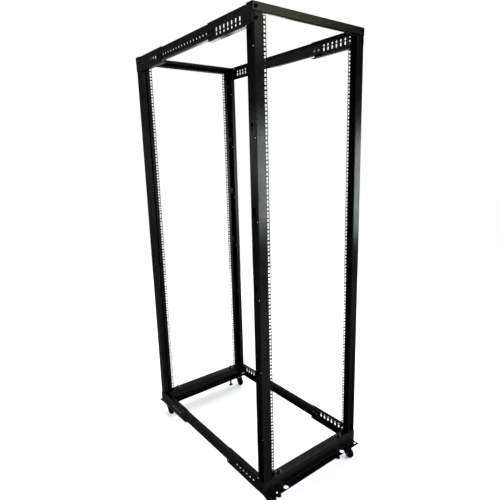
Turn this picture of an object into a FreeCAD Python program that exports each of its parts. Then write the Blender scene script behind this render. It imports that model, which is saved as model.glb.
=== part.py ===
import FreeCAD, Part
import math
import os
import Sketcher

# Four post open frame rack for 19 inch equipment, 42 units high.
# Row frame: X across the width, Y from front (-Y) to rear (+Y), Z up from the floor.
# Posts stand on two hat-section base beams; two top beams and four telescopic
# side rails tie them together. Casters and levelling feet hang under the base beams.

SIZES = [
    ("rack_width", 600, "outer width over beams and side rails"),
    ("steel_sheet", 2, "sheet thickness of posts, beams and rails"),
    ("bend_inside", 1.2, "inside radius of the sheet bends"),
    ("seat_gap", 0.3, "gap between nested sheets"),
    ("base_bottom", 77, "underside of the base beams above the floor"),
    ("base_height", 65, "height of the base beams"),
    ("hat_depth", 41, "depth of the hat over its two walls"),
    ("outer_flange", 30, "base flange in front of the posts"),
    ("inner_flange", 30, "base flange behind the hat"),
    ("inner_flange_end", 24.5, "inner flange stops this far from the rack side"),
    ("anchor_hole_dia", 11, "anchor hole"),
    ("anchor_hole_side", 14, "outer anchor hole from the rack side"),
    ("anchor_hole_pitch", 46, "between the two anchor holes"),
    ("large_hole_dia", 22, "large flange hole"),
    ("large_hole_pitch", 52, "large hole from the inner anchor hole"),
    ("flange_hole_edge", 14, "flange holes from the flange's outer edge"),
    ("top_beam_height", 32, "height of the top beams"),
    ("top_beam_depth", 40, "depth of the top beams"),
    ("top_beam_lip", 15, "rear lip of the top beams"),
    ("post_side", 45, "post side face"),
    ("post_front", 45, "post front face, from the rack side"),
    ("post_recess", 20, "mounting flange behind the front face"),
    ("post_lip", 22, "return lip behind the side face"),
    ("hole_flange", 29.6, "mounting flange, from the front face to its edge"),
    ("hole_edge", 7.15, "row of square holes from the flange edge"),
    ("square_hole", 9.5, "square cage-nut hole"),
    ("unit_pitch", 44.45, "one rack unit"),
    ("unit_count", 42, "rack units"),
    ("first_hole", 6.35, "lowest hole above the bottom of a unit"),
    ("hole_step", 15.875, "between holes inside a unit"),
    ("units_over_base", 10, "bottom of the lowest unit above the base beam"),
    ("post_over_units", 0.8, "post top above the highest unit"),
    ("keyhole_back", 21, "keyholes from the rear edge of the post side"),
    ("keyhole_dia", 17, "head of the keyholes in the post side"),
    ("keyhole_neck", 7, "neck width of the keyholes"),
    ("keyhole_drop", 20.5, "neck end below the keyhole head"),
    ("keyhole_first", 247.5, "lowest keyhole head above the lowest unit"),
    ("keyhole_count", 6, "keyholes up each post"),
    ("side_hole_dia", 5, "small hole in the post side, one to each keyhole"),
    ("side_hole_front", 7.5, "small side hole behind the post face"),
    ("side_hole_drop", 47, "small side hole below the keyhole head"),
    ("corner_plate_lap", 40, "corner plate below the top beam"),
    ("corner_plate_leg", 32, "leg of the corner plate"),
    ("rail_height", 70, "height of the rail brackets"),
    ("rail_flange", 24, "flange of the rail brackets"),
    ("rail_start", 0.6, "rail flanges behind the rear lip of the post"),
    ("bracket_lip", 9.8, "bracket beyond its last slot column"),
    ("slot_pitch", 25.4, "between slot columns and rail holes"),
    ("first_slot", 77, "first slot column from the post face"),
    ("slot_columns", 9, "slot columns in a bracket"),
    ("rail_steps", 33, "slot pitches between the first columns, front and rear"),
    ("slot_width", 9.5, "slot width"),
    ("tall_slot_straight", 6.5, "straight side of the tall slots"),
    ("short_slot_straight", 1, "straight side of the short slots"),
    ("tall_slot_mid", 2.2, "tall slot below the bracket middle"),
    ("short_slot_mid", 18.7, "short slot below the bracket middle"),
    ("middle_height", 56, "height of the middle rails"),
    ("middle_flange", 20, "flange of the middle rails"),
    ("middle_lap", 10, "middle rail beyond its last joint bolt"),
    ("middle_hole", 7, "square hole in the left middle rails"),
    ("wheel_dia", 50, "caster wheel"),
    ("wheel_width", 18, "caster tread width"),
    ("hub_gap", 0.7, "between the hub and each fork leg"),
    ("hub_dia", 16, "caster hub"),
    ("wheel_recess", 3, "depth of the wheel's side recess"),
    ("rim_dia", 38, "outside of the wheel's side recess"),
    ("tread_round", 2, "bevel at the tread's edges"),
    ("axle_dia", 8, "caster axle"),
    ("axle_head", 12, "caster axle head"),
    ("running_gap", 0.06, "radial clearance of running fits"),
    ("caster_trail", 20, "wheel centre behind the swivel axis"),
    ("caster_side", 36, "swivel axis from the rack side"),
    ("fork_inside", 24, "between the fork legs"),
    ("fork_sheet", 2, "fork leg thickness"),
    ("leg_front", 17, "leg ahead of the king pin at the crown"),
    ("leg_back", 18, "leg behind the king pin at the crown"),
    ("leg_shoulder", 5, "upright edge of the leg below the crown"),
    ("leg_end", 9.5, "leg to each side of the axle"),
    ("leg_under", 7, "leg below the axle"),
    ("leg_over", 8.5, "rear edge of the leg above the axle"),
    ("crown_height", 4, "fork crown thickness"),
    ("crown_dia", 38, "fork crown"),
    ("race_dia", 36, "swivel race under the caster plate"),
    ("race_height", 8, "swivel race below the base beam"),
    ("king_pin_dia", 10, "caster king pin"),
    ("caster_plate_width", 56, "caster plate along the beam"),
    ("caster_plate_sheet", 3, "caster plate thickness"),
    ("foot_gap", 10.4, "levelling washer from the mounting flange"),
    ("foot_lift", 14, "underside of the levelling foot above the floor"),
    ("foot_pad_dia", 24, "levelling foot pad"),
    ("foot_pad_edge", 4, "pad edge thickness"),
    ("foot_cone", 4, "pad cone height"),
    ("foot_bevel", 1, "bevel under the pad and on the stud end"),
    ("stud_collar", 2, "top of the cone around the stud"),
    ("stud_dia", 10, "levelling stud"),
    ("stud_proud", 4, "stud above its nut"),
    ("nut_flats", 17, "levelling nut across flats"),
    ("nut_height", 8, "levelling nut hexagon height"),
    ("washer_dia", 30, "levelling nut washer"),
    ("washer_sheet", 2, "levelling nut washer thickness"),
    ("stud_clear", 1, "hole in the beam over the stud diameter"),
]

doc = FreeCAD.newDocument("open_frame_rack")
sheet = doc.addObject("Spreadsheet::Sheet", "Sizes")
for row, (alias, value, note) in enumerate(SIZES, start=1):
    sheet.set("A%d" % row, alias)
    sheet.set("B%d" % row, str(value))
    sheet.set("C%d" % row, note)
    sheet.setAlias("B%d" % row, alias)
doc.recompute()

SUBPARTS = []


def sized(text):
    """Write {alias} as a reference to the spreadsheet."""
    return text.replace("{", "Sizes.").replace("}", "")


def value_of(text):
    return float(sheet.evalExpression(text.replace("{", "").replace("}", "")))


# Places worked out from the sizes: half widths from the middle plane, the depth
# over the posts, and heights above the floor from the base beam upwards.
HALF = "{rack_width}/2"
BODY_HALF = "(%s-{steel_sheet}-{seat_gap})" % HALF
POST_FACE_HALF = "(%s-{post_front})" % HALF
OPENING_HALF = "(%s-{hole_flange})" % POST_FACE_HALF
FOOT_HALF = "(%s-{foot_gap}-{washer_dia}/2)" % OPENING_HALF
DEPTH = "(2*{first_slot}+{rail_steps}*{slot_pitch})"
FRONT = "(0-%s/2)" % DEPTH
BRACKET_END = "({first_slot}+({slot_columns}-1)*{slot_pitch}+{bracket_lip})"
RACE_BOTTOM = "({base_bottom}-{race_height})"
FORK_TOP = "(%s-{seat_gap})" % RACE_BOTTOM
CROWN_BOTTOM = "(%s-{crown_height})" % FORK_TOP
PLATE_TOP = "({base_bottom}+{caster_plate_sheet})"
BASE_TOP = "({base_bottom}+{base_height})"
NUT_TOP = "(%s+{washer_sheet}+{nut_height})" % BASE_TOP
UNITS_BOTTOM = "(%s+{units_over_base})" % BASE_TOP
POST_TOP = "(%s+{unit_count}*{unit_pitch}+{post_over_units})" % UNITS_BOTTOM
RACK_TOP = "(%s+{seat_gap}+{top_beam_height})" % POST_TOP
THROUGH = "4*{steel_sheet}"
INSIDE = "{bend_inside}"
OUTSIDE = "({bend_inside}+{steel_sheet})"


def new_body(label):
    body = doc.addObject("PartDesign::Body", label)
    body.Label = label
    return body


def plane_of(body, role):
    for feature in body.Origin.OriginFeatures:
        if feature.Role == role:
            return feature
    raise ValueError(role)


def new_sketch(body, role, offset="0"):
    sketch = body.newObject("Sketcher::SketchObject", "Sketch")
    sketch.AttachmentSupport = [(plane_of(body, role), "")]
    sketch.MapMode = "FlatFace"
    sketch.setExpression("AttachmentOffset.Base.z", sized(offset))
    return sketch


def bind(sketch, index, text):
    sketch.setExpression("Constraints[%d]" % index, sized(text))


def place_point(sketch, geometry, point, across, up):
    """Fix one point of a sketch element by its two coordinates."""
    index = sketch.addConstraint(
        Sketcher.Constraint("DistanceX", -1, 1, geometry, point, value_of(across)))
    bind(sketch, index, across)
    index = sketch.addConstraint(
        Sketcher.Constraint("DistanceY", -1, 1, geometry, point, value_of(up)))
    bind(sketch, index, up)


def join_ends(sketch, one, other, spot, relation):
    """Join two elements of a sketch where both come to the same spot."""
    ends = []
    for index in (one, other):
        starts_here = sketch.getPoint(index, 1).distanceToPoint(spot) < 1e-6
        ends.append(1 if starts_here else 2)
    sketch.addConstraint(Sketcher.Constraint(relation, one, ends[0], other, ends[1]))


def place_bend(sketch, index, corner, sides):
    """Fix a bend's radius, and its centre that far to both sides of the corner."""
    across, up, radius = corner
    size = sketch.addConstraint(Sketcher.Constraint("Radius", index, value_of(radius)))
    bind(sketch, size, radius)
    place_point(sketch, index, 3, "%s+(%d)*%s" % (across, round(sides.x), radius),
                "%s+(%d)*%s" % (up, round(sides.y), radius))


def draw_outline(sketch, points):
    """Closed outline through points given as pairs of size expressions.

    A third item is the radius of a bend there, between runs along the two axes.
    """
    count = len(points)
    corners = [FreeCAD.Vector(value_of(p[0]), value_of(p[1]), 0) for p in points]
    radii = [value_of(p[2]) if len(p) > 2 else 0 for p in points]
    runs = [(corners[(i + 1) % count] - corners[i]).normalize() for i in range(count)]

    first = sketch.GeometryCount
    loop = []
    for i in range(count):
        after = (i + 1) % count
        start = corners[i] + runs[i] * radii[i]
        end = corners[after] - runs[i] * radii[after]
        if radii[i]:
            bend_start = corners[i] - runs[i - 1] * radii[i]
            sides = runs[i] - runs[i - 1]
            centre = corners[i] + sides * radii[i]
            knee = centre - sides.normalize() * radii[i]
            sketch.addGeometry(Part.Arc(bend_start, knee, start), False)
            loop.append(("bend", i, sides, start))
        sketch.addGeometry(Part.LineSegment(start, end), False)
        loop.append(("run", i, None, end))

    for step, (kind, i, sides, end) in enumerate(loop):
        after = (step + 1) % len(loop)
        smooth = "bend" in (kind, loop[after][0])
        relation = "Tangent" if smooth else "Coincident"
        join_ends(sketch, first + step, first + after, end, relation)
        if kind == "bend":
            place_bend(sketch, first + step, points[i], sides)
        elif not radii[i]:
            place_point(sketch, first + step, 1, points[i][0], points[i][1])


def draw_box(sketch, left, right, low, high):
    draw_outline(sketch, [(left, low), (right, low), (right, high), (left, high)])


def draw_circle(sketch, across, up, diameter):
    centre = FreeCAD.Vector(value_of(across), value_of(up), 0)
    circle = Part.Circle(centre, FreeCAD.Vector(0, 0, 1), value_of(diameter) / 2)
    index = sketch.addGeometry(circle, False)
    size = sketch.addConstraint(
        Sketcher.Constraint("Diameter", index, value_of(diameter)))
    bind(sketch, size, diameter)
    place_point(sketch, index, 3, across, up)


def draw_slot(sketch, across, up, straight, width):
    """Upright slot with round ends about its middle point."""
    axis = FreeCAD.Vector(0, 0, 1)
    low_text = "%s-(%s)/2" % (up, straight)
    high_text = "%s+(%s)/2" % (up, straight)
    radius = value_of(width) / 2
    low = FreeCAD.Vector(value_of(across), value_of(low_text), 0)
    high = FreeCAD.Vector(value_of(across), value_of(high_text), 0)
    side = FreeCAD.Vector(radius, 0, 0)
    loop = [
        Part.LineSegment(high - side, low - side),
        Part.ArcOfCircle(Part.Circle(low, axis, radius), math.pi, 2 * math.pi),
        Part.LineSegment(low + side, high + side),
        Part.ArcOfCircle(Part.Circle(high, axis, radius), 0, math.pi),
    ]
    first = sketch.GeometryCount
    for piece in loop:
        sketch.addGeometry(piece, False)
    for i in range(4):
        sketch.addConstraint(
            Sketcher.Constraint("Tangent", first + i, 2, first + (i + 1) % 4, 1))
    for end, place in ((first + 1, low_text), (first + 3, high_text)):
        index = sketch.addConstraint(Sketcher.Constraint("Diameter", end, 2 * radius))
        bind(sketch, index, width)
        place_point(sketch, end, 3, across, place)


def pad(body, sketch, length, backward=False):
    feature = body.newObject("PartDesign::Pad", "Pad")
    feature.Profile = sketch
    feature.Reversed = backward
    feature.setExpression("Length", sized(length))
    return feature


def pocket(body, sketch, length, backward=False):
    feature = body.newObject("PartDesign::Pocket", "Pocket")
    feature.Profile = sketch
    feature.Reversed = backward
    feature.setExpression("Length", sized(length))
    return feature


def revolve(body, sketch, axis):
    feature = body.newObject("PartDesign::Revolution", "Revolution")
    feature.Profile = sketch
    feature.ReferenceAxis = (plane_of(body, axis), [""])
    feature.Angle = 360
    return feature


def repeat(body, features, axis, length, count):
    pattern = body.newObject("PartDesign::LinearPattern", "Row")
    pattern.Originals = features
    pattern.Direction = (plane_of(body, axis), [""])
    pattern.setExpression("Length", sized(length))
    pattern.setExpression("Occurrences", sized(count))
    body.Tip = pattern
    return pattern


def keep(item, label):
    item.Label = label
    SUBPARTS.append(item)
    return item


def mirrored(source, label, normal):
    twin = doc.addObject("Part::Mirroring", label)
    twin.Source = source
    twin.Normal = normal
    return keep(twin, label)


ACROSS = FreeCAD.Vector(1, 0, 0)
ALONG = FreeCAD.Vector(0, 1, 0)


# ---- Posts -------------------------------------------------------------------

def build_post(label):
    """Bent front-left post: side face, front face, step, hole flange, rear lip."""
    body = new_body(label)
    outer = "(0-%s)" % BODY_HALF
    inner = outer + "+{steel_sheet}"
    front_end = "(0-%s)" % POST_FACE_HALF
    face = FRONT
    recess = FRONT + "+{post_recess}"
    opening = "(0-%s)" % OPENING_HALF
    rear = FRONT + "+{post_side}"
    thick = "{steel_sheet}"
    outline = [
        (outer, face, OUTSIDE),
        (front_end, face, OUTSIDE),
        (front_end, recess, INSIDE),
        (opening, recess),
        (opening, recess + "+" + thick),
        (front_end + "-" + thick, recess + "+" + thick, OUTSIDE),
        (front_end + "-" + thick, face + "+" + thick, INSIDE),
        (inner, face + "+" + thick, INSIDE),
        (inner, rear + "-" + thick, INSIDE),
        (inner + "+{post_lip}", rear + "-" + thick),
        (inner + "+{post_lip}", rear),
        (outer, rear, OUTSIDE),
    ]
    section = new_sketch(body, "XY_Plane", BASE_TOP)
    draw_outline(section, outline)
    pad(body, section, "%s-%s" % (POST_TOP, BASE_TOP))

    plate = new_sketch(body, "XY_Plane", BASE_TOP)
    half = "+{steel_sheet}/2"
    draw_outline(plate, [
        (outer + half, face + half, OUTSIDE),
        (front_end + "-{steel_sheet}/2", face + half, OUTSIDE),
        (front_end + "-{steel_sheet}/2", rear + "-{steel_sheet}/2"),
        (outer + half, rear + "-{steel_sheet}/2", OUTSIDE),
    ])
    pad(body, plate, thick)

    holes = new_sketch(body, "XZ_Plane", "0-(%s)+{steel_sheet}" % recess)
    row = opening + "-{hole_edge}"
    for step in range(3):
        middle = "%s+{first_hole}+%d*{hole_step}" % (UNITS_BOTTOM, step)
        draw_box(holes, row + "-{square_hole}/2", row + "+{square_hole}/2",
                 middle + "-{square_hole}/2", middle + "+{square_hole}/2")
    unit_holes = pocket(body, holes, THROUGH)
    repeat(body, [unit_holes], "Z_Axis", "({unit_count}-1)*{unit_pitch}", "{unit_count}")

    keyhole = rear + "-{keyhole_back}"
    head_up = "%s+{keyhole_first}" % UNITS_BOTTOM
    heads = new_sketch(body, "YZ_Plane", "%s+2*{steel_sheet}" % outer)
    draw_circle(heads, keyhole, head_up, "{keyhole_dia}")
    draw_circle(heads, face + "+{side_hole_front}", head_up + "-{side_hole_drop}",
                "{side_hole_dia}")
    head_cut = pocket(body, heads, THROUGH)
    neck = new_sketch(body, "YZ_Plane", "%s+2*{steel_sheet}" % outer)
    draw_slot(neck, keyhole, head_up + "-{keyhole_drop}/2", "{keyhole_drop}", "{keyhole_neck}")
    neck_cut = pocket(body, neck, THROUGH)
    spacing = "{unit_count}*{unit_pitch}/{keyhole_count}"
    repeat(body, [head_cut, neck_cut], "Z_Axis", "({keyhole_count}-1)*%s" % spacing,
           "{keyhole_count}")
    return keep(body, label)


# ---- Beams -------------------------------------------------------------------

def build_base_beam(label):
    """Hat section: top face, two walls, an outward and an inward bottom flange."""
    body = new_body(label)
    thick = "{steel_sheet}"
    front = FRONT
    back = FRONT + "+{hat_depth}"
    low = "{base_bottom}"
    high = BASE_TOP
    hat = [
        (front + "-{outer_flange}", low),
        (front + "+" + thick, low, OUTSIDE),
        (front + "+" + thick, high + "-" + thick, INSIDE),
        (back + "-" + thick, high + "-" + thick, INSIDE),
        (back + "-" + thick, low, OUTSIDE),
        (back + "+{inner_flange}", low),
        (back + "+{inner_flange}", low + "+" + thick),
        (back, low + "+" + thick, INSIDE),
        (back, high, OUTSIDE),
        (front, high, OUTSIDE),
        (front, low + "+" + thick, INSIDE),
        (front + "-{outer_flange}", low + "+" + thick),
    ]
    section = new_sketch(body, "YZ_Plane", "0-%s" % BODY_HALF)
    draw_outline(section, hat)
    pad(body, section, "2*%s" % BODY_HALF)

    web_top = high + "-" + OUTSIDE
    skin = [
        (front + "-{outer_flange}", low),
        (front + "+" + thick, low, OUTSIDE),
        (front + "+" + thick, web_top),
        (front, web_top),
        (front, low + "+" + thick, INSIDE),
        (front + "-{outer_flange}", low + "+" + thick),
    ]
    ends = new_sketch(body, "YZ_Plane", "0-%s" % HALF)
    draw_outline(ends, skin)
    pad(body, ends, "{rack_width}")

    notch = new_sketch(body, "XY_Plane", low + "+2*" + thick)
    reach = back + "+2*{inner_flange}"
    stop = "(%s-{inner_flange_end})" % HALF
    draw_box(notch, "0-{rack_width}", "0-" + stop, back, reach)
    draw_box(notch, stop, "{rack_width}", back, reach)
    pocket(body, notch, THROUGH)

    holes = new_sketch(body, "XY_Plane", low + "+2*" + thick)
    line = front + "-{outer_flange}+{flange_hole_edge}"
    outer_hole = "(%s-{anchor_hole_side})" % HALF
    inner_hole = "(%s-{anchor_hole_pitch})" % outer_hole
    large_hole = "(%s-{large_hole_pitch})" % inner_hole
    for side in ("0-", ""):
        draw_circle(holes, side + outer_hole, line, "{anchor_hole_dia}")
        draw_circle(holes, side + inner_hole, line, "{anchor_hole_dia}")
        draw_circle(holes, side + large_hole, line, "{large_hole_dia}")
    pocket(body, holes, THROUGH)

    studs = new_sketch(body, "XY_Plane", high + "+" + thick)
    for side in ("0-", ""):
        draw_circle(studs, side + FOOT_HALF, FRONT + "+{hat_depth}/2",
                    "{stud_dia}+{stud_clear}")
    pocket(body, studs, THROUGH)
    return keep(body, label)


def build_top_beam(label):
    """Channel: front web, top face and rear lip, open below."""
    body = new_body(label)
    thick = "{steel_sheet}"
    front = FRONT
    back = FRONT + "+{top_beam_depth}"
    low = RACK_TOP + "-{top_beam_height}"
    high = RACK_TOP
    channel = [
        (front, low),
        (front + "+" + thick, low),
        (front + "+" + thick, high + "-" + thick, INSIDE),
        (back + "-" + thick, high + "-" + thick, INSIDE),
        (back + "-" + thick, high + "-{top_beam_lip}"),
        (back, high + "-{top_beam_lip}"),
        (back, high, OUTSIDE),
        (front, high, OUTSIDE),
    ]
    section = new_sketch(body, "YZ_Plane", "0-%s" % HALF)
    draw_outline(section, channel)
    pad(body, section, "{rack_width}")
    notch = new_sketch(body, "XY_Plane", high + "-" + thick)
    lip_low = back + "-2*" + thick
    lip_high = back + "+" + thick
    draw_box(notch, "0-{rack_width}", "0-" + BODY_HALF, lip_low, lip_high)
    draw_box(notch, BODY_HALF, "{rack_width}", lip_low, lip_high)
    pocket(body, notch, "{top_beam_lip}")
    return keep(body, label)


def build_corner_plate(label):
    """Angle inside the top corner, bolted to the post and to the top beam."""
    body = new_body(label)
    thick = "{steel_sheet}"
    side = "(0-%s+{steel_sheet}+{seat_gap})" % BODY_HALF
    front = FRONT + "+{steel_sheet}+{seat_gap}"
    angle = [
        (side, front, OUTSIDE),
        (side + "+{corner_plate_leg}", front),
        (side + "+{corner_plate_leg}", front + "+" + thick),
        (side + "+" + thick, front + "+" + thick, INSIDE),
        (side + "+" + thick, front + "+{corner_plate_leg}"),
        (side, front + "+{corner_plate_leg}"),
    ]
    section = new_sketch(body, "XY_Plane", POST_TOP + "+{seat_gap}-{corner_plate_lap}")
    draw_outline(section, angle)
    pad(body, section, "{corner_plate_lap}+{top_beam_height}-{steel_sheet}-{seat_gap}")
    return keep(body, label)


# ---- Side rails ----------------------------------------------------------------

def build_bracket(label, turned):
    """Slotted channel, local X inward from the web, Y back from the post, Z up."""
    body = new_body(label)
    thick = "{steel_sheet}"
    high = "{rail_height}"
    wide = "{rail_flange}"
    start = "({post_side}+{rail_start})"
    channel = [
        ("0", "0", OUTSIDE),
        (wide, "0"),
        (wide, thick),
        (thick, thick, INSIDE),
        (thick, high + "-" + thick, INSIDE),
        (wide, high + "-" + thick),
        (wide, high),
        ("0", high, OUTSIDE),
    ]
    section = new_sketch(body, "XZ_Plane", "0-" + start)
    draw_outline(section, channel)
    pad(body, section, "%s-%s" % (BRACKET_END, start), True)

    web = new_sketch(body, "YZ_Plane")
    draw_box(web, "{steel_sheet}+{seat_gap}", BRACKET_END, OUTSIDE, high + "-" + OUTSIDE)
    pad(body, web, thick)

    # Tall slots are level on both sides; the short row lies below them on the
    # left and above them on the right, where the bracket is turned over.
    tall, short = "{tall_slot_mid}", "{short_slot_mid}"
    if turned:
        tall, short = "(0-%s)" % tall, "(%s-2*%s)" % (short, tall)
    slots = new_sketch(body, "YZ_Plane", "2*" + thick)
    for drop, straight in ((tall, "{tall_slot_straight}"), (short, "{short_slot_straight}")):
        draw_slot(slots, "{first_slot}", "{rail_height}/2-" + drop, straight, "{slot_width}")
    column = pocket(body, slots, THROUGH)
    repeat(body, [column], "Y_Axis", "({slot_columns}-1)*{slot_pitch}", "{slot_columns}")
    if turned:
        body.Placement.Rotation = FreeCAD.Rotation(ALONG, 180)
    return body


def build_middle(label, with_holes):
    """Plain channel that slides inside the two brackets of a side rail."""
    body = new_body(label)
    thick = "{steel_sheet}"
    high = "{middle_height}"
    wide = "{middle_flange}"
    joint = "({first_slot}+({slot_columns}-2)*{slot_pitch})"
    start = "(%s-{middle_lap})" % joint
    channel = [
        ("0", "0", OUTSIDE),
        (wide, "0"),
        (wide, thick),
        (thick, thick, INSIDE),
        (thick, high + "-" + thick, INSIDE),
        (wide, high + "-" + thick),
        (wide, high),
        ("0", high, OUTSIDE),
    ]
    section = new_sketch(body, "XZ_Plane", "0-(%s)" % start)
    draw_outline(section, channel)
    pad(body, section, "%s-2*%s" % (DEPTH, start), True)
    if with_holes:
        holes = new_sketch(body, "YZ_Plane", "2*" + thick)
        drop = "({rail_height}/2+{tall_slot_mid}-{steel_sheet}-{seat_gap})"
        centre = "{middle_height}-%s" % drop
        draw_box(holes, joint + "-{middle_hole}/2", joint + "+{middle_hole}/2",
                 centre + "-{middle_hole}/2", centre + "+{middle_hole}/2")
        hole = pocket(body, holes, THROUGH)
        steps = "({rail_steps}-2*({slot_columns}-2))"
        repeat(body, [hole], "Y_Axis", "%s*{slot_pitch}" % steps, "%s+1" % steps)
    return body


def set_place(item, across, along, up):
    for axis, text in (("x", across), ("y", along), ("z", up)):
        item.setExpression("Placement.Base.%s" % axis, sized(text))


def build_rails(level, bottom):
    """The left and the right side rail of one level, three pieces each."""
    inside = "{steel_sheet}+{seat_gap}"
    middle_low = "%s+{rail_height}-(%s)-{middle_height}" % (bottom, inside)

    left = build_bracket("%s_left_front_bracket" % level, False)
    set_place(left, "0-" + HALF, FRONT, bottom)
    keep(left, "%s_left_front_bracket" % level)
    mirrored(left, "%s_left_rear_bracket" % level, ALONG)
    rail = build_middle("%s_left_middle" % level, True)
    set_place(rail, "0-%s+%s" % (HALF, inside), FRONT, middle_low)
    keep(rail, "%s_left_middle" % level)

    right = build_bracket("%s_right_front_bracket" % level, True)
    set_place(right, HALF, FRONT, "%s+{rail_height}" % bottom)
    keep(right, "%s_right_front_bracket" % level)
    mirrored(right, "%s_right_rear_bracket" % level, ALONG)
    rail = build_middle("%s_right_middle_blank" % level, False)
    set_place(rail, "0-%s+%s" % (HALF, inside), FRONT, middle_low)
    mirrored(rail, "%s_right_middle" % level, ACROSS)


# ---- Casters and feet ------------------------------------------------------------

def build_caster_plate(label):
    """Plate in the mouth of the hat with the swivel race under it."""
    body = new_body(label)
    plate = new_sketch(body, "XY_Plane", "{base_bottom}")
    reach = "({hat_depth}/2-{steel_sheet}-{seat_gap})"
    draw_box(plate, "0-{caster_plate_width}/2", "{caster_plate_width}/2", "0-" + reach, reach)
    pad(body, plate, "{caster_plate_sheet}")
    race = new_sketch(body, "XY_Plane", RACE_BOTTOM)
    draw_circle(race, "0", "0", "{race_dia}")
    pad(body, race, "%s-%s" % (PLATE_TOP, RACE_BOTTOM))
    bore = new_sketch(body, "XY_Plane", PLATE_TOP)
    draw_circle(bore, "0", "0", "{king_pin_dia}+2*{running_gap}")
    pocket(body, bore, "%s-%s" % (PLATE_TOP, RACE_BOTTOM))
    return body


def build_caster_fork(label):
    """Crown, king pin, two legs and the riveted axle; the wheel trails along +X."""
    body = new_body(label)
    crown = new_sketch(body, "XY_Plane", CROWN_BOTTOM)
    draw_circle(crown, "0", "0", "{crown_dia}")
    pad(body, crown, "{crown_height}")
    pin = new_sketch(body, "XY_Plane", CROWN_BOTTOM)
    draw_circle(pin, "0", "0", "{king_pin_dia}")
    pad(body, pin, "%s-{seat_gap}-%s" % (PLATE_TOP, CROWN_BOTTOM))
    axle_up = "{wheel_dia}/2"
    shoulder = CROWN_BOTTOM + "-{leg_shoulder}"
    leg = [
        ("0-{leg_front}", shoulder),
        ("{caster_trail}-{leg_end}", axle_up + "-{leg_under}"),
        ("{caster_trail}+{leg_end}", axle_up + "-{leg_under}"),
        ("{caster_trail}+{leg_end}", axle_up + "+{leg_over}"),
        ("{leg_back}", shoulder),
        ("{leg_back}", FORK_TOP),
        ("0-{leg_front}", FORK_TOP),
    ]
    for start in ("{fork_inside}/2+{fork_sheet}", "0-{fork_inside}/2"):
        side = new_sketch(body, "XZ_Plane", start + "-{fork_sheet}")
        draw_outline(side, leg)
        pad(body, side, "{fork_sheet}")
    long_half = "({fork_inside}/2+2*{fork_sheet})"
    axle = new_sketch(body, "XZ_Plane", "0-" + long_half)
    draw_circle(axle, "{caster_trail}", axle_up, "{axle_dia}")
    pad(body, axle, "2*" + long_half)
    for start in ("{fork_inside}/2+{fork_sheet}", "0-" + long_half):
        head = new_sketch(body, "XZ_Plane", start)
        draw_circle(head, "{caster_trail}", axle_up, "{axle_head}")
        pad(body, head, "{fork_sheet}")
    return body


def build_caster_wheel(label):
    """Wheel turned about its own Y axis, with a shallow recess on each side."""
    body = new_body(label)
    bore = "{axle_dia}/2+{running_gap}"
    hub = "({fork_inside}/2-{hub_gap})"
    tread = "{wheel_width}/2"
    web = "{wheel_width}/2-{wheel_recess}"
    rim = "{rim_dia}/2"
    edge = "{wheel_dia}/2"
    half = [
        (hub, bore),
        (hub, "{hub_dia}/2"),
        (web, "{hub_dia}/2"),
        (web, rim),
        (tread, rim),
        (tread, edge + "-{tread_round}"),
        (tread + "-{tread_round}", edge),
    ]
    other = [("0-(%s)" % across, up) for across, up in reversed(half)]
    profile = new_sketch(body, "YZ_Plane")
    draw_outline(profile, half + other)
    revolve(body, profile, "Y_Axis")
    return body


def build_casters():
    """Four casters; the front-left wheel trails to the right, the rest forward."""
    corners = [
        ("front_left", "(0-1)", "(0-1)", 0),
        ("front_right", "1", "(0-1)", -90),
        ("rear_left", "(0-1)", "1", -90),
        ("rear_right", "1", "1", -90),
    ]
    for corner, side, end, angle in corners:
        across = "%s*(%s-{caster_side})" % (side, HALF)
        along = "%s*(%s/2-{hat_depth}/2)" % (end, DEPTH)
        plate = build_caster_plate("caster_plate_" + corner)
        set_place(plate, across, along, "0")
        keep(plate, "caster_plate_" + corner)
        turn = FreeCAD.Rotation(FreeCAD.Vector(0, 0, 1), angle)
        fork = build_caster_fork("caster_fork_" + corner)
        fork.Placement.Rotation = turn
        set_place(fork, across, along, "0")
        keep(fork, "caster_fork_" + corner)
        trail = turn.multVec(FreeCAD.Vector(1, 0, 0))
        wheel = build_caster_wheel("caster_wheel_" + corner)
        wheel.Placement.Rotation = turn
        set_place(wheel, "%s+(%d)*{caster_trail}" % (across, round(trail.x)),
                  "%s+(%d)*{caster_trail}" % (along, round(trail.y)), "{wheel_dia}/2")
        keep(wheel, "caster_wheel_" + corner)


def build_foot(label):
    """Pad, cone and threaded stud turned about Z."""
    body = new_body(label)
    low = "{foot_lift}"
    rim = "{foot_pad_dia}/2"
    cone_foot = low + "+{foot_pad_edge}"
    cone_top = cone_foot + "+{foot_cone}"
    stud = "{stud_dia}/2"
    top = NUT_TOP + "+{stud_proud}"
    outline = [
        ("0", low),
        (rim + "-{foot_bevel}", low),
        (rim, low + "+{foot_bevel}"),
        (rim, cone_foot),
        (stud + "+{stud_collar}", cone_top),
        (stud, cone_top),
        (stud, top + "-{foot_bevel}"),
        (stud + "-{foot_bevel}", top),
        ("0", top),
    ]
    profile = new_sketch(body, "XZ_Plane")
    draw_outline(profile, outline)
    revolve(body, profile, "Z_Axis")
    return body


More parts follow.
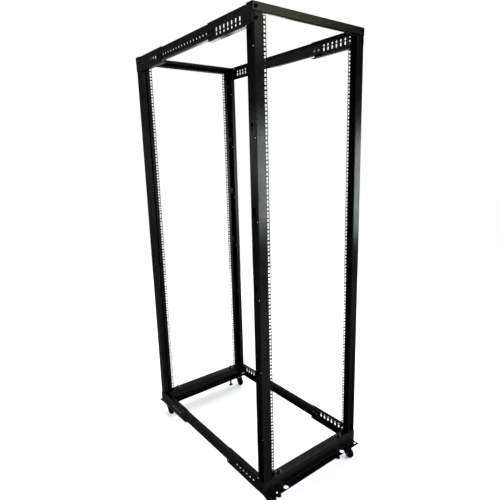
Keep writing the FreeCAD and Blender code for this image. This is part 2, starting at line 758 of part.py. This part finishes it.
def build_nut(label):
    """Washer-faced hexagon nut seated on the base beam."""
    body = new_body(label)
    low = BASE_TOP
    washer = new_sketch(body, "XY_Plane", low)
    draw_circle(washer, "0", "0", "{washer_dia}")
    pad(body, washer, "{washer_sheet}")
    flat = "{nut_flats}/2"
    corner = "{nut_flats}/sqrt(3)"
    hexagon = [
        (corner, "0"),
        (corner + "/2", flat),
        ("0-%s/2" % corner, flat),
        ("0-" + corner, "0"),
        ("0-%s/2" % corner, "0-" + flat),
        (corner + "/2", "0-" + flat),
    ]
    nut = new_sketch(body, "XY_Plane", low)
    draw_outline(nut, hexagon)
    pad(body, nut, "{washer_sheet}+{nut_height}")
    bore = new_sketch(body, "XY_Plane", NUT_TOP)
    draw_circle(bore, "0", "0", "{stud_dia}+2*{running_gap}")
    pocket(body, bore, "{washer_sheet}+{nut_height}")
    return body


def build_feet():
    for end_name, end in (("front", "(0-1)"), ("rear", "1")):
        for side_name, side in (("left", "(0-1)"), ("right", "1")):
            corner = "%s_%s" % (end_name, side_name)
            across = "%s*%s" % (side, FOOT_HALF)
            along = "%s*(%s/2-{hat_depth}/2)" % (end, DEPTH)
            for name, maker in (("leveling_foot_", build_foot), ("leveling_nut_", build_nut)):
                piece = maker(name + corner)
                set_place(piece, across, along, "0")
                keep(piece, name + corner)


def build_all():
    post = build_post("post_front_left")
    mirrored(post, "post_front_right", ACROSS)
    rear = mirrored(post, "post_rear_left", ALONG)
    mirrored(rear, "post_rear_right", ACROSS)

    base = build_base_beam("base_beam_front")
    mirrored(base, "base_beam_rear", ALONG)
    top = build_top_beam("top_beam_front")
    mirrored(top, "top_beam_rear", ALONG)

    plate = build_corner_plate("corner_plate_front_left")
    mirrored(plate, "corner_plate_front_right", ACROSS)
    rear = mirrored(plate, "corner_plate_rear_left", ALONG)
    mirrored(rear, "corner_plate_rear_right", ACROSS)

    build_rails("base_rail", "{base_bottom}")
    build_rails("top_rail", "(%s-{steel_sheet}-{seat_gap}-{rail_height})" % RACK_TOP)
    build_casters()
    build_feet()


build_all()
doc.recompute()

problems = []
for item in doc.Objects:
    if "Invalid" in item.State or "Error" in item.State:
        problems.append("%s: %s" % (item.Label, item.State))
for item in SUBPARTS:
    shape = item.Shape
    if shape.isNull() or not shape.isValid():
        problems.append("%s: bad shape" % item.Label)
    elif len(shape.Solids) != 1:
        problems.append("%s: %d solids" % (item.Label, len(shape.Solids)))
if problems:
    raise SystemExit("\n".join(problems))

os.makedirs("parts", exist_ok=True)
for item in SUBPARTS:
    item.Shape.exportStep("parts/%s.step" % item.Label)
    box = item.Shape.BoundBox
    print("%-32s %8.0f mm3  x %.1f..%.1f  y %.1f..%.1f  z %.1f..%.1f" % (
        item.Label, item.Shape.Volume, box.XMin, box.XMax, box.YMin, box.YMax,
        box.ZMin, box.ZMax))
print(len(SUBPARTS), "sub-parts")
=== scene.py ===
import math

import bmesh
import bpy
from mathutils import Matrix, Vector


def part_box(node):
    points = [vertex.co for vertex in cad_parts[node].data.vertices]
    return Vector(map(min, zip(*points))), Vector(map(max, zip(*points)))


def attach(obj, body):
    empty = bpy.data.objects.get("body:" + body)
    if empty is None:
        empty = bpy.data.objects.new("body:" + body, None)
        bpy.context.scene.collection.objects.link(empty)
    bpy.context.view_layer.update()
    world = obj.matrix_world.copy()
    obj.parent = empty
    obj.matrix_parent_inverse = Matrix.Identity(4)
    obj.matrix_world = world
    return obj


# Looks of the four post open frame rack: a finish for every CAD node, the small
# fasteners that hold the rack together, the casters' small parts, and the studio.

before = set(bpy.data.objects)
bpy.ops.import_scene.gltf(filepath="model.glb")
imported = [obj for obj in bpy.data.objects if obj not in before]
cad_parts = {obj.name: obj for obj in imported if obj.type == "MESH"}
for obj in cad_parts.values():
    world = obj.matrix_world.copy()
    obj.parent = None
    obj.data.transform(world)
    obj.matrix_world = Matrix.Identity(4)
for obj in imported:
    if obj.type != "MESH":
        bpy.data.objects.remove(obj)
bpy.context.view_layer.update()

MM = 0.001
# Name, side (-1 left, 1 right) and end (-1 front, 1 rear).
CORNERS = [
    ("front_left", -1, -1),
    ("front_right", 1, -1),
    ("rear_left", -1, 1),
    ("rear_right", 1, 1),
]


# ---- Node materials --------------------------------------------------------------

def new_material(name):
    """An empty node material with its output and Principled shader."""
    material = bpy.data.materials.new(name)
    material.use_nodes = True
    tree = material.node_tree
    tree.nodes.clear()
    output = tree.nodes.new("ShaderNodeOutputMaterial")
    shader = tree.nodes.new("ShaderNodeBsdfPrincipled")
    tree.links.new(shader.outputs["BSDF"], output.inputs["Surface"])
    return material, tree, shader


def noise(tree, scale, detail=3.0, roughness=0.5, stretch=(1, 1, 1)):
    """Noise in object space, scale in features per metre."""
    place = tree.nodes.new("ShaderNodeTexCoord")
    stretcher = tree.nodes.new("ShaderNodeMapping")
    stretcher.inputs["Scale"].default_value = stretch
    tree.links.new(place.outputs["Object"], stretcher.inputs["Vector"])
    texture = tree.nodes.new("ShaderNodeTexNoise")
    texture.inputs["Scale"].default_value = scale
    texture.inputs["Detail"].default_value = detail
    texture.inputs["Roughness"].default_value = roughness
    tree.links.new(stretcher.outputs["Vector"], texture.inputs["Vector"])
    return texture.outputs["Fac"]


def spread(tree, value, low, high, start=0.3, end=0.7):
    """Maps a texture's value from start..end to low..high."""
    mapper = tree.nodes.new("ShaderNodeMapRange")
    mapper.inputs["From Min"].default_value = start
    mapper.inputs["From Max"].default_value = end
    mapper.inputs["To Min"].default_value = low
    mapper.inputs["To Max"].default_value = high
    tree.links.new(value, mapper.inputs["Value"])
    return mapper.outputs["Result"]


def base_colour(tree, shader, texture, dark, light):
    """Clouds the base colour between two colours."""
    mixer = tree.nodes.new("ShaderNodeMix")
    mixer.data_type = "RGBA"
    mixer.inputs["A"].default_value = (*dark, 1)
    mixer.inputs["B"].default_value = (*light, 1)
    tree.links.new(spread(tree, texture, 0, 1), mixer.inputs["Factor"])
    tree.links.new(mixer.outputs["Result"], shader.inputs["Base Color"])


def bumps(tree, shader, layers):
    """Chains bump layers, each (height, distance in metres, strength)."""
    last = None
    for height, distance, strength in layers:
        bump = tree.nodes.new("ShaderNodeBump")
        bump.inputs["Strength"].default_value = strength
        bump.inputs["Distance"].default_value = distance
        tree.links.new(height, bump.inputs["Height"])
        if last is not None:
            tree.links.new(last, bump.inputs["Normal"])
        last = bump.outputs["Normal"]
    tree.links.new(last, shader.inputs["Normal"])


def dark_gloss(shader, metallic, edge):
    """A low reflection that stays low at the edges, as on black painted steel."""
    shader.inputs["Metallic"].default_value = metallic
    shader.inputs["Specular Tint"].default_value = (edge, edge, edge, 1)


def powder_coat(name, dark, light, gloss, seed, metallic=1.0, edge=0.5):
    """Satin black powder coat: orange peel, faint cloudiness and fine specks."""
    material, tree, shader = new_material(name)
    clouds = noise(tree, 14 + seed, 4, 0.6)
    peel = noise(tree, 620 + 9 * seed, 2, 0.5)
    grain = noise(tree, 2400, 1, 0.5)
    base_colour(tree, shader, clouds, dark, light)
    tree.links.new(spread(tree, clouds, gloss - 0.04, gloss + 0.05),
                   shader.inputs["Roughness"])
    bumps(tree, shader, [(peel, 0.00012, 0.35), (grain, 0.00003, 0.25)])
    dark_gloss(shader, metallic, edge)
    shader.inputs["Specular IOR Level"].default_value = 0.0
    return material


def plated_steel(name, dark, light, rough_low, rough_high):
    """Plated steel with fine turning or rolling marks."""
    material, tree, shader = new_material(name)
    clouds = noise(tree, 160, 4, 0.6)
    marks = noise(tree, 900, 2, 0.5, (1, 1, 6))
    base_colour(tree, shader, clouds, dark, light)
    tree.links.new(spread(tree, marks, rough_low, rough_high), shader.inputs["Roughness"])
    bumps(tree, shader, [(marks, 0.00004, 0.3)])
    dark_gloss(shader, 1.0, 0.5)
    return material


def moulded(name, dark, light, rough_low, rough_high):
    """Moulded plastic or rubber with a fine pebbled skin."""
    material, tree, shader = new_material(name)
    clouds = noise(tree, 90, 3, 0.6)
    pebbles = noise(tree, 1500, 2, 0.6)
    base_colour(tree, shader, clouds, dark, light)
    tree.links.new(spread(tree, pebbles, rough_low, rough_high), shader.inputs["Roughness"])
    bumps(tree, shader, [(pebbles, 0.00006, 0.4)])
    dark_gloss(shader, 1.0, 0.35)
    return material


# Coats: name, darkest and lightest colour, roughness, seed. The rack wears one black powder
# coat; the copies below differ in colour to paint light and shade part by part.
POST_COAT = powder_coat(
    "post_powder_coat", (0.0048, 0.0049, 0.0047), (0.0062, 0.0063, 0.0060), 0.205, 0, edge=0.42)
# Rear posts: the coat painted darker, painted shade.
PAINTED_SHADE_REAR_POSTS = powder_coat(
    "painted_shade_rear_post_coat", (0.0038, 0.0039, 0.0037), (0.0052, 0.0053, 0.0050), 0.32, 1)
# Top front beam and its lip: the coat painted lighter and warmer, painted light.
PAINTED_LIGHT_BEAM = powder_coat(
    "painted_light_beam_coat", (0.0083, 0.0079, 0.0067), (0.0110, 0.0105, 0.0092), 0.24, 3)
# Base beams: the coat painted lighter, painted light.
PAINTED_LIGHT_BASE = powder_coat(
    "painted_light_base_coat", (0.0060, 0.0060, 0.0060), (0.0084, 0.0082, 0.0084), 0.24, 4,
    metallic=0.82)
# Top rear beam: the coat painted darker, painted shade.
PAINTED_SHADE_REAR_BEAM = powder_coat(
    "painted_shade_rear_beam_coat", (0.0032, 0.0031, 0.0032), (0.0046, 0.0045, 0.0046), 0.26, 5)
# Corner plates and top rails: the coat painted lighter, painted light.
PAINTED_LIGHT_RAILS = powder_coat(
    "painted_light_rail_coat", (0.0092, 0.0091, 0.0092), (0.0126, 0.0124, 0.0126), 0.25, 6)
# Base rails: the coat painted darker, painted shade.
PAINTED_SHADE_LOW_RAILS = powder_coat(
    "painted_shade_low_rail_coat", (0.0042, 0.0041, 0.0042), (0.0062, 0.0060, 0.0062), 0.25, 7)
# Small parts: name, darkest and lightest colour, lowest and highest roughness.
CASTER_STEEL = plated_steel(
    "black_zinc", (0.003, 0.003, 0.0032), (0.006, 0.006, 0.0062), 0.32, 0.5)
SCREW_STEEL = plated_steel(
    "black_oxide", (0.0018, 0.0018, 0.0019), (0.004, 0.004, 0.0041), 0.28, 0.45)
ZINC = plated_steel(
    "bright_zinc", (0.10, 0.10, 0.105), (0.16, 0.16, 0.165), 0.3, 0.48)
FOOT_STEEL = plated_steel(
    "levelling_steel", (0.004, 0.004, 0.0042), (0.008, 0.008, 0.0082), 0.3, 0.45)
# Levelling nuts and base rail bolts: black steel painted much lighter than the levelling stud,
# painted light that lifts them out of the shade they sit in.
NUTS_PAINTED_LIGHT = plated_steel(
    "levelling_nuts_painted_light", (0.026, 0.026, 0.026), (0.038, 0.038, 0.038), 0.3, 0.45)
WHEEL_PLASTIC = moulded(
    "black_nylon", (0.0022, 0.0022, 0.0022), (0.004, 0.004, 0.004), 0.42, 0.6)
# Near-black painted shade: the shadow line under the top beams, the insides of the screw
# sockets and the grooves of the stud threads.
PAINTED_SHADE_BLACK = moulded(
    "painted_shade_black", (0.0006, 0.0006, 0.0006), (0.0012, 0.0012, 0.0012), 0.6, 0.8)
WASHER_STEEL = plated_steel(
    "thread_steel", (0.03, 0.03, 0.031), (0.06, 0.06, 0.061), 0.3, 0.5)

# The coats painted darker (painted shade) go to the rear posts, rear top beam and base rails;
# those painted lighter (painted light) go to the top front beam, base beams, corner plates and
# top rails.
NODE_FINISH = [
    ("post_front_", POST_COAT),
    ("post_rear_", PAINTED_SHADE_REAR_POSTS),
    ("base_beam_", PAINTED_LIGHT_BASE),
    ("top_beam_front", PAINTED_LIGHT_BEAM),
    ("top_beam_rear", PAINTED_SHADE_REAR_BEAM),
    ("corner_plate_", PAINTED_LIGHT_RAILS),
    ("base_rail_", PAINTED_SHADE_LOW_RAILS),
    ("top_rail_", PAINTED_LIGHT_RAILS),
    ("caster_plate_", CASTER_STEEL),
    ("caster_fork_", CASTER_STEEL),
    ("caster_wheel_", WHEEL_PLASTIC),
    ("leveling_foot_", FOOT_STEEL),
    ("leveling_nut_", NUTS_PAINTED_LIGHT),
]

for name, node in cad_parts.items():
    finish = next(f for prefix, f in NODE_FINISH if name.startswith(prefix))
    node.data.materials.clear()
    node.data.materials.append(finish)


# ---- Mesh tools ------------------------------------------------------------------

def ring(mesh, steps, height, radius_at):
    """A ring of points about Z, its radius a function of the angle."""
    points = []
    for k in range(steps):
        angle = 2 * math.pi * k / steps
        radius = radius_at(angle)
        points.append(mesh.verts.new(
            (radius * math.cos(angle), radius * math.sin(angle), height)))
    return points


def skin(mesh, one, other):
    """Faces between two rings of as many points."""
    for k in range(len(one)):
        after = (k + 1) % len(one)
        mesh.faces.new((one[k], one[after], other[after], other[k]))


def hexagon(across_flats, angle):
    """From the middle of a hexagon to its edge, at an angle."""
    sector = math.pi / 3
    return across_flats / 2 / math.cos((angle + sector / 2) % sector - sector / 2)


def turned(profile, steps=32):
    """A solid of revolution about Z from (radius, height) pairs; radius 0 closes it."""
    mesh = bmesh.new()
    rings = []
    for radius, height in profile:
        if radius < 1e-9:
            rings.append([mesh.verts.new((0, 0, height))])
        else:
            rings.append(ring(mesh, steps, height, lambda angle: radius))
    for low, high in zip(rings, rings[1:]):
        if len(low) > 1 and len(high) > 1:
            skin(mesh, low, high)
            continue
        for k in range(steps):
            after = (k + 1) % steps
            if len(low) == 1:
                mesh.faces.new((low[0], high[after], high[k]))
            else:
                mesh.faces.new((low[k], low[after], high[0]))
    return mesh


def hexagon_head(across_flats, low, high, chamfer):
    """A solid hexagon bolt head with chamfered corners."""
    mesh = bmesh.new()
    corner = across_flats / math.sqrt(3)
    circle = across_flats / 2 * 0.97
    rings = [
        ring(mesh, 48, height, lambda angle: min(hexagon(across_flats, angle), limit))
        for height, limit in ((low, circle), (low + chamfer, corner),
                              (high - chamfer, corner), (high, circle))
    ]
    for one, other in zip(rings, rings[1:]):
        skin(mesh, one, other)
    mesh.faces.new(list(reversed(rings[0])))
    mesh.faces.new(rings[-1])
    return mesh


def washer(bore, outside, low, high):
    """A flat washer with softened edges."""
    soft = (high - low) * 0.25
    return turned([
        (bore, low + soft), (bore + soft, low), (outside - soft, low), (outside, low + soft),
        (outside, high - soft), (outside - soft, high), (bore + soft, high),
        (bore, high - soft), (bore, low + soft),
    ], 40)


def thread(radius, low, high, pitch):
    """A screw thread, drawn as close rings with V grooves."""
    root = radius - pitch * 0.45
    profile = [(0, low), (root, low)]
    height = low
    while height + pitch < high - pitch * 0.6:
        profile += [(root, height + pitch * 0.1), (radius, height + pitch * 0.6)]
        height += pitch
    profile += [(root, height + pitch * 0.2), (radius - pitch * 0.5, high), (0, high)]
    return turned(profile, 28)


def button_head(radius, height, socket):
    """A domed screw head open at its socket, standing up from Z = 0."""
    shoulder = 0.12
    crown = socket + 1.2 * MM
    profile = [(radius, 0), (radius, height * shoulder)]
    for k in range(1, 8):
        a = math.pi / 2 * k / 8
        profile.append((crown + (radius - crown) * math.cos(a),
                        height * (shoulder + (1 - shoulder) * math.sin(a))))
    profile += [(socket + 0.4 * MM, height), (socket, height * 0.93)]
    return turned(profile, 36)


def hexagon_well(radius, top, bottom):
    """The inside of a hexagon socket, with the round lead-in at its mouth."""
    mesh = bmesh.new()
    mouth = ring(mesh, 36, top, lambda angle: radius)
    upper, lower = (
        ring(mesh, 36, height, lambda angle: min(hexagon(radius * 1.8, angle), radius))
        for height in (top - 0.3 * MM, bottom)
    )
    skin(mesh, mouth, upper)
    skin(mesh, upper, lower)
    mesh.faces.new(lower)
    return mesh


def merged(meshes):
    """One bmesh from several; the given ones are freed."""
    out = bmesh.new()
    for one in meshes:
        data = bpy.data.meshes.new("part")
        one.to_mesh(data)
        one.free()
        out.from_mesh(data)
        bpy.data.meshes.remove(data)
    return out


def placed(mesh, matrix):
    """Moves a mesh and gives it back."""
    mesh.transform(matrix)
    return mesh


def facing(direction, at):
    """A matrix that turns +Z to a direction and moves the origin to a point."""
    turn = Vector(direction).to_track_quat("Z", "Y").to_matrix().to_4x4()
    return Matrix.Translation(Vector(at)) @ turn


def extruded(profile, reach):
    """A closed strip along X, to both sides of the middle, from (y, z) points."""
    mesh = bmesh.new()
    rows = [[mesh.verts.new((x, y, z)) for y, z in profile] for x in (-reach, reach)]
    count = len(profile)
    for k in range(count):
        after = (k + 1) % count
        mesh.faces.new((rows[0][k], rows[1][k], rows[1][after], rows[0][after]))
    mesh.faces.new(rows[0])
    mesh.faces.new(list(reversed(rows[1])))
    return mesh


def piece(name, mesh, material, body):
    """Makes a mesh object with a finish and lets it ride on a body."""
    bmesh.ops.remove_doubles(mesh, verts=mesh.verts, dist=1e-7)
    bmesh.ops.recalc_face_normals(mesh, faces=mesh.faces)
    data = bpy.data.meshes.new(name)
    mesh.to_mesh(data)
    mesh.free()
    data.materials.append(material)
    data.shade_smooth()
    obj = bpy.data.objects.new(name, data)
    bpy.context.scene.collection.objects.link(obj)
    data.set_sharp_from_angle(angle=math.radians(35))
    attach(obj, body)


# ---- Joint bolts of the side rails ---------------------------------------------------

FIRST_SLOT, SLOT_PITCH = 77 * MM, 25.4 * MM
JOINT_COLUMNS = (7, 8)
SLOT_DROP = 2.2 * MM
SHEET = 2 * MM


def rail_joints():
    """Two bolts in each rail lap: head and washer inside, shank end flush outside."""
    post_face = -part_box("post_front_left")[0].y
    shank = [(4.7 * MM, 0), (4.7 * MM, 1.2 * MM), (4.2 * MM, 1.7 * MM), (0, 1.7 * MM)]
    # The base rail bolts take the nut steel that is painted lighter, painted light.
    for level, head_finish, washer_finish in (("base_rail", NUTS_PAINTED_LIGHT, NUTS_PAINTED_LIGHT),
                                              ("top_rail", ZINC, WASHER_STEEL)):
        for side_name, side in (("left", -1), ("right", 1)):
            rail_low, rail_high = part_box("%s_%s_middle" % (level, side_name))
            low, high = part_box("%s_%s_front_bracket" % (level, side_name))
            inside = (abs(rail_low.x) if side < 0 else rail_high.x) - SHEET
            outside = max(abs(low.x), abs(high.x))
            middle = (low.z + high.z) / 2 - SLOT_DROP
            for end_name, end in (("front", -1), ("rear", 1)):
                heads, washers, ends = [], [], []
                for column in JOINT_COLUMNS:
                    y = end * (post_face - FIRST_SLOT - column * SLOT_PITCH)
                    inward = facing((-side, 0, 0), (side * inside, y, middle))
                    outward = facing((side, 0, 0), (side * (outside - 1.9 * MM), y, middle))
                    washers.append(placed(washer(3.5 * MM, 8.5 * MM, 0, 1.4 * MM), inward))
                    heads.append(placed(
                        hexagon_head(13 * MM, 1.4 * MM, 7.2 * MM, 0.9 * MM), inward))
                    ends.append(placed(turned(shank, 36), outward))
                tag = "%s_%s_%s" % (level, side_name, end_name)
                piece("joint_heads_" + tag, merged(heads), head_finish, "rack")
                piece("joint_washers_" + tag, merged(washers), washer_finish, "rack")
                piece("joint_ends_" + tag, merged(ends), SCREW_STEEL, "rack")


# ---- Top corners ---------------------------------------------------------------------

def beam_edges():
    """The turned-in lower edge of each top beam, and a near-black strip along it that is a
    painted shadow line.
    """
    shadow_line_profile = [(0, -1.7), (0.14, -1.5), (0.2, -0.9), (0.2, 0.9), (0.14, 1.5), (0, 1.7)]
    lip_profile = [(2.1, 0), (13.2, 0), (13.8, 0.3), (14, 0.9), (13.8, 1.5), (13.2, 1.8),
                   (2.1, 1.8)]
    post_inside = -(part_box("post_front_left")[0].x + 48 * MM)
    for name, end in (("top_beam_front", -1), ("top_beam_rear", 1)):
        low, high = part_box(name)
        face = abs(low.y) if end < 0 else high.y
        shadow_line = [(end * (face + out * MM), low.z + (up + 0.4) * MM) for out, up in shadow_line_profile]
        lip = [(end * (face - back * MM), low.z + up * MM) for back, up in lip_profile]
        piece("painted_shadow_line_" + name, extruded(shadow_line, high.x - 1.5 * MM), PAINTED_SHADE_BLACK, "rack")
        piece("lip_" + name, extruded(lip, post_inside), PAINTED_LIGHT_BEAM, "rack")


def corner_screws():
    """Socket screws that hold the top beams and the posts to the corner plates; the insides of
    their sockets are near black, painted shade.
    """
    from_middle, under_beam = 287 * MM, 22 * MM
    washer_sheet, socket = 0.9 * MM, 4.2 * MM
    for corner, side, end in CORNERS:
        low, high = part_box("post_" + corner)
        face = abs(low.y) if end < 0 else high.y
        beam_low, beam_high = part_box("top_beam_front" if end < 0 else "top_beam_rear")
        heads, sockets = [], []
        for z in ((beam_low.z + beam_high.z) / 2, beam_low.z - under_beam):
            foot = facing((0, end, 0), (side * from_middle, end * face, z))
            seat = facing((0, end, 0), (side * from_middle, end * (face + washer_sheet), z))
            heads.append(placed(washer(3 * MM, 7.4 * MM, 0, washer_sheet), foot))
            heads.append(placed(button_head(6.4 * MM, 3.4 * MM, socket), seat))
            sockets.append(placed(hexagon_well(socket, 3.16 * MM, 1.0 * MM), seat))
        piece("corner_screws_" + corner, merged(heads), SCREW_STEEL, "rack")
        # The socket insides take the near-black painted shade.
        piece("corner_sockets_" + corner, merged(sockets), PAINTED_SHADE_BLACK, "rack")


# ---- Casters and feet ----------------------------------------------------------------

def caster_details():
    """Rivet caps at the axle ends, and a raised ring in each side of the wheel."""
    cap = [(4.6 * MM, 0), (4.4 * MM, 0.7 * MM), (3.2 * MM, 1.3 * MM), (0, 1.6 * MM)]
    rib = [(18.6 * MM, 0.1 * MM), (18.2 * MM, 0.9 * MM), (17.4 * MM, 0.9 * MM),
           (17.0 * MM, 0.1 * MM)]
    cap_out, rib_out = 16 * MM, 6 * MM
    for corner, _, _ in CORNERS:
        low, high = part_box("caster_wheel_" + corner)
        centre = (low + high) / 2
        axle_along_x = (high.x - low.x) < (high.y - low.y)
        axis = Vector((1, 0, 0)) if axle_along_x else Vector((0, 1, 0))
        ends = (-axis, axis)
        caps = [placed(turned(cap, 32), facing(out, centre + out * cap_out)) for out in ends]
        ribs = [placed(turned(rib, 56), facing(out, centre + out * rib_out)) for out in ends]
        piece("axle_rivets_" + corner, merged(caps), ZINC, "fork_" + corner)
        piece("wheel_ribs_" + corner, merged(ribs), WHEEL_PLASTIC, "wheel_" + corner)


def stud_threads():
    """The thread on the part of each levelling stud that shows below its beam, drawn in the
    near-black painted shade, darker than the stud's own steel.
    """
    for corner, _, _ in CORNERS:
        low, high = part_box("leveling_foot_" + corner)
        at = Matrix.Translation(((low.x + high.x) / 2, (low.y + high.y) / 2, 0))
        mesh = thread(5.5 * MM, low.z + 8.5 * MM, low.z + 108 * MM, 1.75 * MM)
        piece("stud_thread_" + corner, placed(mesh, at), PAINTED_SHADE_BLACK, "foot_" + corner)


rail_joints()
beam_edges()
corner_screws()
caster_details()
stud_threads()


# ---- Camera --------------------------------------------------------------------------

CAMERA_PLACE = (-1.29499, -1.75221, 1.52292)
CAMERA_YAW, CAMERA_PITCH, CAMERA_ROLL = 37.206, 12.023, -1.621


def make_camera():
    """The photo's view: yaw from +Y towards +X, pitch down, roll about the view."""
    data = bpy.data.cameras.new("camera")
    data.lens = 30.84
    data.sensor_width = 36
    data.clip_start = 0.05
    data.clip_end = 60
    camera = bpy.data.objects.new("camera", data)
    bpy.context.scene.collection.objects.link(camera)
    yaw, pitch, roll = (math.radians(a) for a in (CAMERA_YAW, CAMERA_PITCH, CAMERA_ROLL))
    ahead = Vector((math.sin(yaw) * math.cos(pitch), math.cos(yaw) * math.cos(pitch),
                    -math.sin(pitch)))
    right = Vector((math.cos(yaw), -math.sin(yaw), 0))
    up = right.cross(ahead)
    right, up = (right * math.cos(roll) + up * math.sin(roll),
                 up * math.cos(roll) - right * math.sin(roll))
    turn = Matrix((right, up, -ahead)).transposed().to_4x4()
    camera.matrix_world = Matrix.Translation(CAMERA_PLACE) @ turn
    bpy.context.scene.camera = camera


make_camera()


# ---- Studio --------------------------------------------------------------------------

def white_to_the_camera(tree):
    """1 for camera, glossy and transmission rays, 0 for the rest."""
    rays = tree.nodes.new("ShaderNodeLightPath")
    value = rays.outputs["Is Camera Ray"]
    for ray in ("Is Glossy Ray", "Is Transmission Ray"):
        either = tree.nodes.new("ShaderNodeMath")
        either.operation = "MAXIMUM"
        tree.links.new(value, either.inputs[0])
        tree.links.new(rays.outputs[ray], either.inputs[1])
        value = either.outputs[0]
    return value


def make_world():
    """Dim light from all round, seen as plain white."""
    world = bpy.data.worlds.new("studio")
    bpy.context.scene.world = world
    world.use_nodes = True
    tree = world.node_tree
    tree.nodes.clear()
    output = tree.nodes.new("ShaderNodeOutputWorld")
    mixer = tree.nodes.new("ShaderNodeMixShader")
    tree.links.new(white_to_the_camera(tree), mixer.inputs["Fac"])
    for socket, strength in ((1, 0.4), (2, 1.0)):
        background = tree.nodes.new("ShaderNodeBackground")
        background.inputs["Color"].default_value = (1, 1, 1, 1)
        background.inputs["Strength"].default_value = strength
        tree.links.new(background.outputs[0], mixer.inputs[socket])
    tree.links.new(mixer.outputs[0], output.inputs["Surface"])


def make_floor():
    """A large pale paper floor that keeps the rack's shadow."""
    data = bpy.data.meshes.new("floor")
    mesh = bmesh.new()
    bmesh.ops.create_grid(mesh, x_segments=4, y_segments=4, size=14)
    mesh.to_mesh(data)
    mesh.free()
    floor = bpy.data.objects.new("floor", data)
    bpy.context.scene.collection.objects.link(floor)
    material, tree, shader = new_material("floor_paper")
    shader.inputs["Roughness"].default_value = 0.9
    shader.inputs["Specular IOR Level"].default_value = 0.06
    base_colour(tree, shader, noise(tree, 300, 2, 0.5), (0.95, 0.95, 0.95), (0.97, 0.97, 0.97))
    data.materials.append(material)


def add_lamp(name, data, direction):
    """A lamp of the given data that shines in a direction."""
    lamp = bpy.data.objects.new(name, data)
    bpy.context.scene.collection.objects.link(lamp)
    lamp.rotation_mode = "QUATERNION"
    lamp.rotation_quaternion = Vector(direction).to_track_quat("-Z", "Y")
    return lamp


def ceiling_light(direction, strength):
    """Even soft light from above, the same at every distance."""
    data = bpy.data.lights.new("ceiling", "SUN")
    data.energy = strength
    data.angle = math.radians(70)
    add_lamp("ceiling", data, direction)


def softbox(name, at, towards, wide, high, power, tint):
    """A rectangular area lamp at a place, turned to a point; sizes in m, power in W."""
    data = bpy.data.lights.new(name, "AREA")
    data.color = tint
    data.shape = "RECTANGLE"
    data.size = wide
    data.size_y = high
    data.energy = power
    add_lamp(name, data, Vector(towards) - Vector(at)).location = at


COOL, PLAIN, WARM = (0.86, 0.93, 1.0), (1, 1, 1), (1.0, 0.97, 0.89)
CENTRE = (0, 0, 1.3)

SOFTBOXES = [
    ("front_middle", (1.62, -2.75, 1.30), CENTRE, 0.34, 1.03, 62, COOL),
    ("front_side", (3.1, -2.75, 1.16), CENTRE, 0.34, 1.2, 150, COOL),
    ("front_left", (-1.95, -2.75, 1.3), CENTRE, 0.34, 1.2, 40, PLAIN),
    ("side_left", (-2.6, 2.5, 1.6), (-0.3, -0.4, 1.4), 0.45, 0.8, 11, PLAIN),
    ("front_high", (1.3, -2.4, 2.85), (0, 0, 1.8), 1.1, 0.7, 14, WARM),
    ("rear_left", (-2.1, 3.0, 1.45), CENTRE, 0.7, 1.0, 18, PLAIN),
    ("rear_right", (2.2, 3.0, 1.2), CENTRE, 0.9, 1.3, 40, PLAIN),
    ("right", (3.4, 0.2, 1.3), CENTRE, 0.7, 1.3, 30, PLAIN),
    ("left", (-3.4, -0.2, 1.3), CENTRE, 0.7, 1.3, 50, PLAIN),
]

make_world()
make_floor()
ceiling_light((-0.45, -0.55, -1), 2.36)
for row in SOFTBOXES:
    softbox(*row)

bpy.context.scene.view_settings.view_transform = "Standard"
